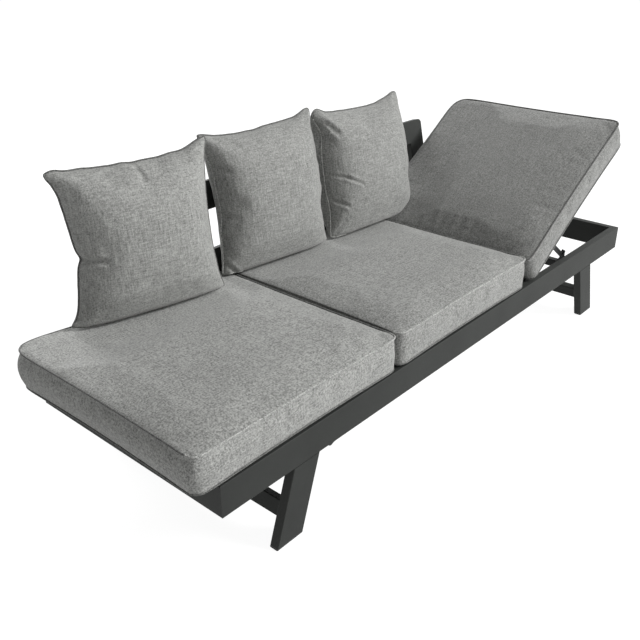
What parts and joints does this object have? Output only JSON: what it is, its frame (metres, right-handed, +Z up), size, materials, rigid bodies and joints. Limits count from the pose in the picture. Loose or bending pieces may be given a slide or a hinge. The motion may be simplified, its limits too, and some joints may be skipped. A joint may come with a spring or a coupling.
{
  "type": "garden sofa",
  "caption": "Low garden sofa on a flat-tube metal frame with splayed legs, three thick seat cushions, scatter pillows and two hinged end sections that tip up on toothed catch stays.",
  "frame": {"origin": "on the floor, under the middle of the whole sofa's box", "axes": "+X along the sofa to the end that stands tipped up (right, seen from the front), +Y to the back, +Z up"},
  "size_m": [1.998, 0.7244, 0.7799],
  "materials": {
    "frame_metal": "fine matt powder coat",
    "stay_metal": "satin black coating",
    "fastener_metal": "satin",
    "foot_plastic": "matt",
    "buffer_rubber": "matt",
    "cover_fabric": "heathered plain weave with piped seams"
  },
  "bodies": {
    "seat_frame": {"front_rail": "frame_metal", "back_rail": "frame_metal", "left_end_rail": "frame_metal", "right_end_rail": "frame_metal", "front_left_leg": "frame_metal", "front_right_leg": "frame_metal", "back_left_leg": "frame_metal", "back_right_leg": "frame_metal", "left_stretcher": "frame_metal", "right_stretcher": "frame_metal", "front_left_foot": "foot_plastic", "front_right_foot": "foot_plastic", "back_left_foot": "foot_plastic", "back_right_foot": "foot_plastic", "left_hinge_rail": "frame_metal", "right_hinge_rail": "frame_metal", "middle_cross_rail": "frame_metal", "middle_slats": "frame_metal", "left_rest_bar": "frame_metal", "right_rest_bar": "frame_metal", "rest_buffers": "buffer_rubber", "back_left_post": "frame_metal", "back_right_post": "frame_metal", "back_top_rail": "frame_metal", "back_lower_rail": "frame_metal", "left_back_bracket": "stay_metal", "right_back_bracket": "stay_metal", "hinge_pins": "fastener_metal", "screws": "fastener_metal", "left_front_stay_plate": "stay_metal", "left_rear_stay_plate": "stay_metal", "right_front_stay_plate": "stay_metal", "right_rear_stay_plate": "stay_metal"},
    "left_section": {"left_front_side_tube": "frame_metal", "left_rear_side_tube": "frame_metal", "left_hinge_tube": "frame_metal", "left_end_tube": "frame_metal", "left_slats": "frame_metal"},
    "left_cushion": {"left_seat_cushion": "cover_fabric"},
    "left_pillow": {"left_pillow": "cover_fabric"},
    "middle_cushion": {"middle_seat_cushion": "cover_fabric"},
    "middle_pillow": {"middle_pillow": "cover_fabric"},
    "right_pillow": {"right_pillow": "cover_fabric"},
    "right_section": {"right_front_side_tube": "frame_metal", "right_rear_side_tube": "frame_metal", "right_hinge_tube": "frame_metal", "right_end_tube": "frame_metal", "right_slats": "frame_metal", "right_seat_cushion": "cover_fabric"},
    "left_front_lower_arm": {"left_front_lower_arm": "stay_metal"},
    "left_front_upper_arm": {"left_front_upper_arm": "stay_metal"},
    "left_rear_lower_arm": {"left_rear_lower_arm": "stay_metal"},
    "left_rear_upper_arm": {"left_rear_upper_arm": "stay_metal"},
    "right_front_lower_arm": {"right_front_lower_arm": "stay_metal"},
    "right_front_upper_arm": {"right_front_upper_arm": "stay_metal"},
    "right_rear_lower_arm": {"right_rear_lower_arm": "stay_metal"},
    "right_rear_upper_arm": {"right_rear_upper_arm": "stay_metal"}
  },
  "joints": [
    {"name": "left_section_tilt", "type": "hinge", "parent": "seat_frame", "child": "left_section", "pos_m": [-0.29438, -0.03444, 0.2605], "axis": [0, 1, 0], "range_deg": [0, 30]},
    {"name": "right_section_tilt", "type": "hinge", "parent": "seat_frame", "child": "right_section", "pos_m": [0.35228, -0.03444, 0.2605], "axis": [0, -1, 0], "range_deg": [-30, 0]},
    {"name": "left_cushion_slide", "type": "slide", "parent": "left_section", "child": "left_cushion", "axis": [-1, 0, 0], "range_m": [0, 0.0695]},
    {"name": "left_pillow_fold", "type": "hinge", "parent": "left_cushion", "child": "left_pillow", "pos_m": [-0.65655, 0.19106, 0.4205], "axis": [0.9744, -0.225, 0], "range_deg": [0, 84]},
    {"name": "middle_cushion_lift", "type": "hinge", "parent": "seat_frame", "child": "middle_cushion", "pos_m": [0.29438, -0.03444, 0.33], "axis": [0, 1, 0], "range_deg": [0, 3.01]},
    {"name": "middle_pillow_rise", "type": "slide", "parent": "middle_cushion", "child": "middle_pillow", "axis": [0, 0, 1], "range_m": [0, 0.0499]},
    {"name": "right_pillow_rise", "type": "slide", "parent": "seat_frame", "child": "right_pillow", "axis": [0, 0, 1], "range_m": [0, 0.0163]},
    {"name": "left_front_lower_arm_turn", "type": "hinge", "parent": "seat_frame", "child": "left_front_lower_arm", "pos_m": [-0.36962, -0.31844, 0.20584], "axis": [0, 1, 0], "range_deg": [0, 30]},
    {"name": "left_front_upper_arm_turn", "type": "hinge", "parent": "left_section", "child": "left_front_upper_arm", "pos_m": [-0.49438, -0.31844, 0.2175], "axis": [0, 1, 0], "range_deg": [-30, 0]},
    {"name": "left_rear_lower_arm_turn", "type": "hinge", "parent": "seat_frame", "child": "left_rear_lower_arm", "pos_m": [-0.36962, 0.24956, 0.20584], "axis": [0, 1, 0], "range_deg": [0, 30]},
    {"name": "left_rear_upper_arm_turn", "type": "hinge", "parent": "left_section", "child": "left_rear_upper_arm", "pos_m": [-0.49438, 0.24956, 0.2175], "axis": [0, 1, 0], "range_deg": [-30, 0]},
    {"name": "right_front_lower_arm_turn", "type": "hinge", "parent": "seat_frame", "child": "right_front_lower_arm", "pos_m": [0.42752, -0.31844, 0.20584], "axis": [0, -1, 0], "range_deg": [-30, 0]},
    {"name": "right_front_upper_arm_turn", "type": "hinge", "parent": "right_section", "child": "right_front_upper_arm", "pos_m": [0.54699, -0.31844, 0.32326], "axis": [0, -1, 0], "range_deg": [0, 30]},
    {"name": "right_rear_lower_arm_turn", "type": "hinge", "parent": "seat_frame", "child": "right_rear_lower_arm", "pos_m": [0.42752, 0.24956, 0.20584], "axis": [0, -1, 0], "range_deg": [-30, 0]},
    {"name": "right_rear_upper_arm_turn", "type": "hinge", "parent": "right_section", "child": "right_rear_upper_arm", "pos_m": [0.54699, 0.24956, 0.32326], "axis": [0, -1, 0], "range_deg": [0, 30]}
  ],
  "couplings": [
    {"joint": "left_cushion_slide", "follows": "left_section_tilt", "m_per_rad": 0.13178},
    {"joint": "left_pillow_fold", "follows": "left_section_tilt", "ratio": 2.8},
    {"joint": "middle_cushion_lift", "follows": "left_section_tilt", "ratio": 0.1},
    {"joint": "middle_pillow_rise", "follows": "left_section_tilt", "m_per_rad": 0.095111},
    {"joint": "right_pillow_rise", "follows": "left_section_tilt", "m_per_rad": 0.03094},
    {"joint": "left_front_lower_arm_turn", "follows": "left_section_tilt", "ratio": 1},
    {"joint": "left_front_upper_arm_turn", "follows": "left_section_tilt", "ratio": -1},
    {"joint": "left_rear_lower_arm_turn", "follows": "left_section_tilt", "ratio": 1},
    {"joint": "left_rear_upper_arm_turn", "follows": "left_section_tilt", "ratio": -1},
    {"joint": "right_front_lower_arm_turn", "follows": "right_section_tilt", "ratio": 1},
    {"joint": "right_front_upper_arm_turn", "follows": "right_section_tilt", "ratio": -1},
    {"joint": "right_rear_lower_arm_turn", "follows": "right_section_tilt", "ratio": 1},
    {"joint": "right_rear_upper_arm_turn", "follows": "right_section_tilt", "ratio": -1}
  ]
}
